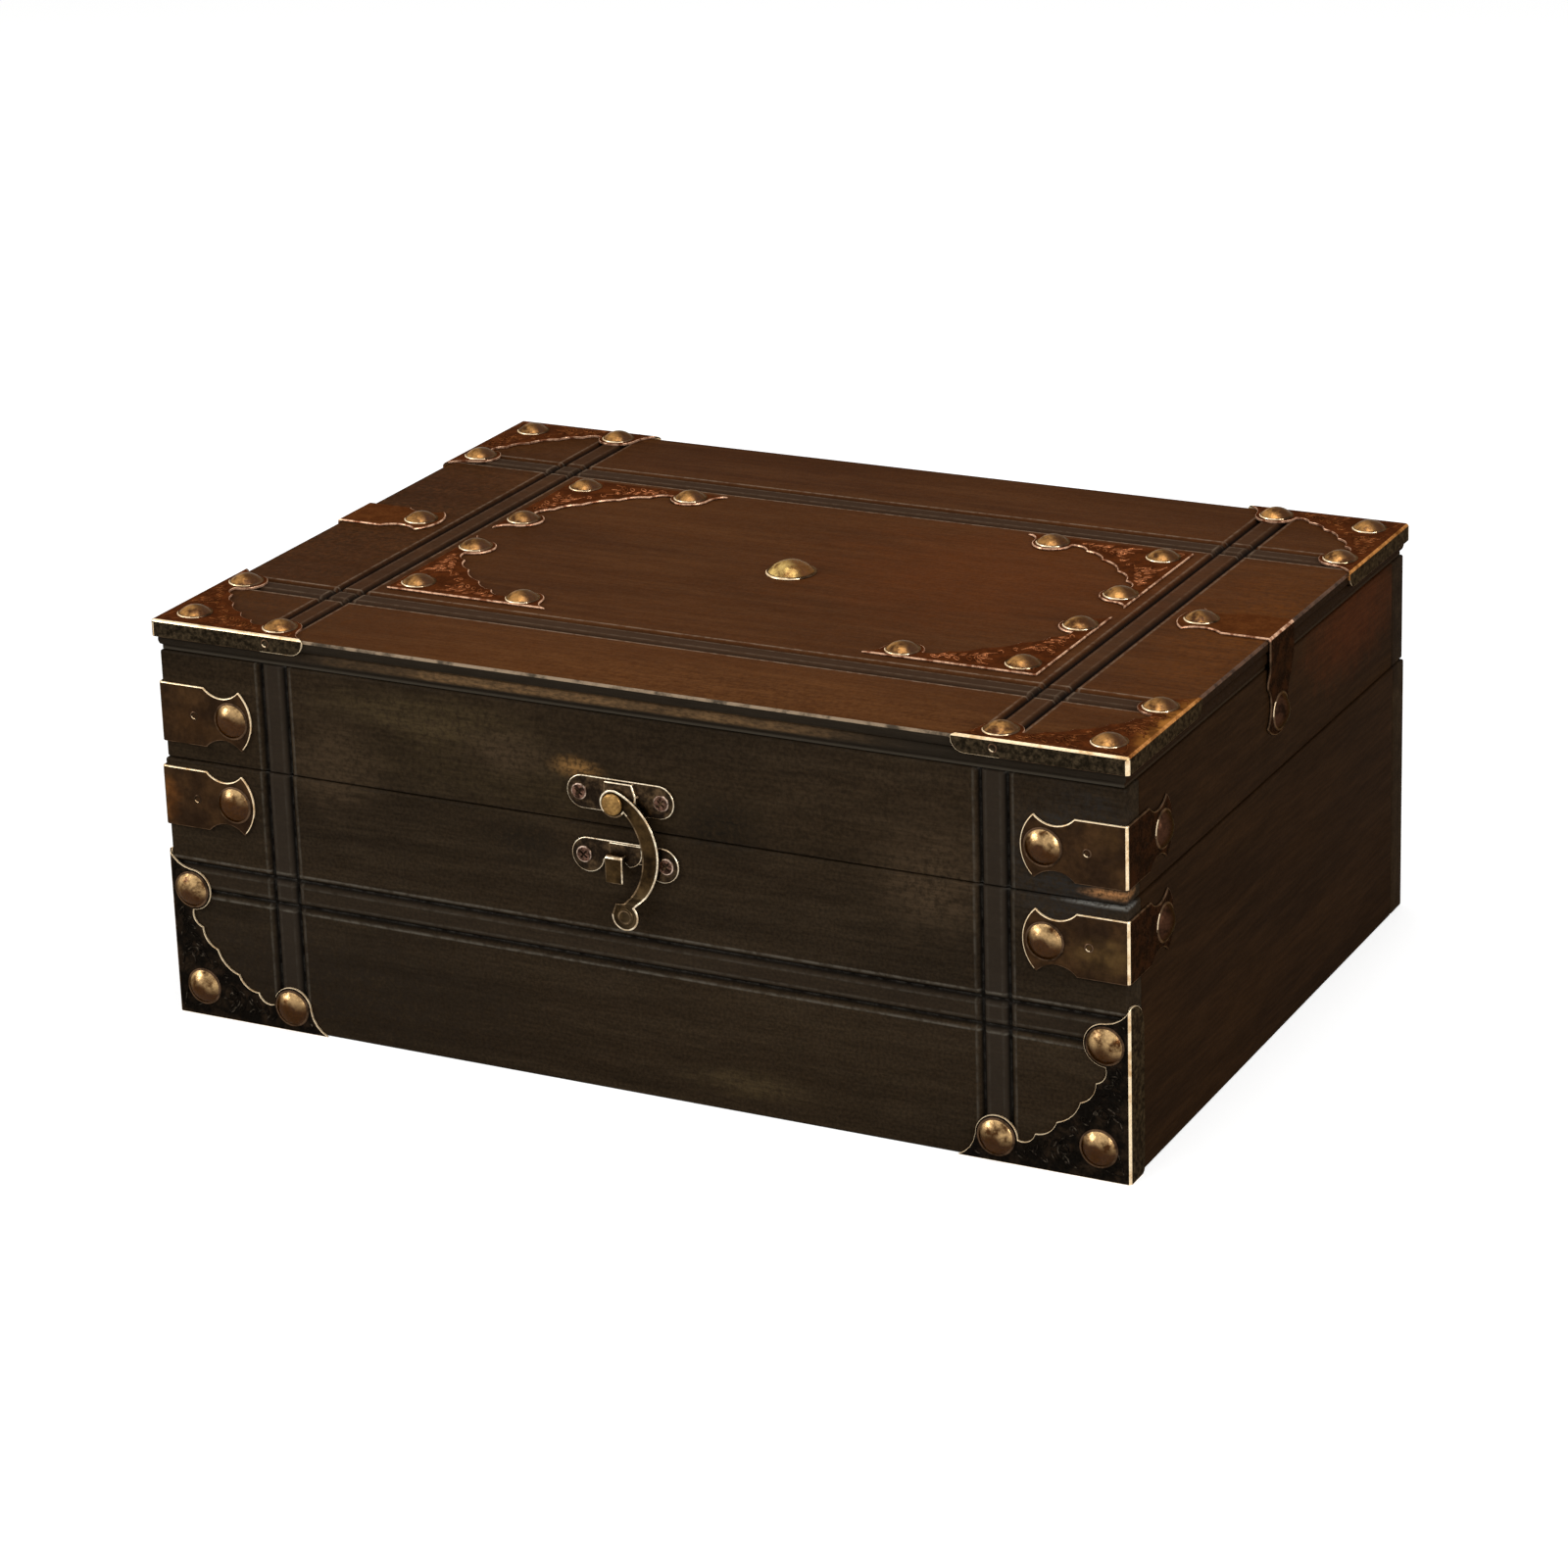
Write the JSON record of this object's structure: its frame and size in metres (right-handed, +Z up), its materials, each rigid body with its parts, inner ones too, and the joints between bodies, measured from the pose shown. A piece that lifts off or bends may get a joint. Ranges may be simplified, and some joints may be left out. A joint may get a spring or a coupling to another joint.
{
  "type": "treasure chest",
  "caption": "Flat-lidded wooden treasure chest with moulded lid edge, grooved boards, scalloped metal corner plates, straps, domed studs, a swing-arm latch and rear hinges.",
  "frame": {"origin": "middle of the underside, on the surface that the chest stands on", "axes": "+Z up, +X to the right as seen from the latch side, -Y out of the front with the latch"},
  "size_m": [0.3052, 0.2208, 0.1239],
  "materials": {
    "chestnut_wood": "satin stain",
    "dark_wood": "satin stain, worn",
    "dark_bronze_plate": "dark patina with worn edges",
    "antique_brass_stud": "antique polish",
    "antique_bronze": "dark patina with bright rims",
    "tan_brass": "matte",
    "dull_steel": "dull"
  },
  "bodies": {
    "base": {"base_front": "dark_wood", "base_back": "dark_wood", "base_left": "dark_wood", "base_right": "dark_wood", "base_floor": "dark_wood", "base_corner_left": "dark_bronze_plate", "base_strap_left": "dark_bronze_plate", "base_corner_right": "dark_bronze_plate", "base_strap_right": "dark_bronze_plate", "base_stud_left_front": "antique_brass_stud", "base_stud_left_side": "antique_brass_stud", "base_stud_right_front": "antique_brass_stud", "base_stud_right_side": "antique_brass_stud", "catch_plate": "antique_bronze", "catch_screw_left": "antique_bronze", "catch_screw_right": "antique_bronze", "hinge_base_leaf_left": "dull_steel", "hinge_base_leaf_right": "dull_steel", "hinge_pin_left": "dull_steel", "hinge_pin_right": "dull_steel", "hinge_base_screw_left_1": "dull_steel", "hinge_base_screw_left_2": "dull_steel", "hinge_base_screw_right_1": "dull_steel", "hinge_base_screw_right_2": "dull_steel"},
    "lid": {"lid_top": "chestnut_wood", "lid_front": "dark_wood", "lid_back": "dark_wood", "lid_left": "dark_wood", "lid_right": "dark_wood", "lid_corner_front_left": "dark_bronze_plate", "lid_corner_back_left": "dark_bronze_plate", "panel_corner_front_left": "dark_bronze_plate", "panel_corner_back_left": "dark_bronze_plate", "lid_edge_strap_left": "dark_bronze_plate", "lid_strap_left": "dark_bronze_plate", "lid_corner_front_right": "dark_bronze_plate", "lid_corner_back_right": "dark_bronze_plate", "panel_corner_front_right": "dark_bronze_plate", "panel_corner_back_right": "dark_bronze_plate", "lid_edge_strap_right": "dark_bronze_plate", "lid_strap_right": "dark_bronze_plate", "lid_stud_left_front": "antique_brass_stud", "lid_stud_left_side": "antique_brass_stud", "lid_stud_right_front": "antique_brass_stud", "lid_stud_right_side": "antique_brass_stud", "centre_stud": "antique_brass_stud", "latch_plate": "antique_bronze", "latch_screw_left": "antique_bronze", "latch_screw_right": "antique_bronze", "latch_rivet": "tan_brass", "hinge_lid_leaf_left": "dull_steel", "hinge_lid_leaf_right": "dull_steel", "hinge_lid_screw_left_1": "dull_steel", "hinge_lid_screw_left_2": "dull_steel", "hinge_lid_screw_right_1": "dull_steel", "hinge_lid_screw_right_2": "dull_steel"},
    "latch_arm": {"latch_arm": "antique_bronze"}
  },
  "joints": [
    {"name": "lid_hinge", "type": "hinge", "parent": "base", "child": "lid", "pos_m": [0, 0.10805, 0.07865], "axis": [-1, 0, 0], "range_deg": [0, 110]},
    {"name": "latch_swing", "type": "hinge", "parent": "lid", "child": "latch_arm", "pos_m": [-0.0012, -0.1073, 0.0866], "axis": [0, -1, 0], "range_deg": [-21, 180]}
  ]
}
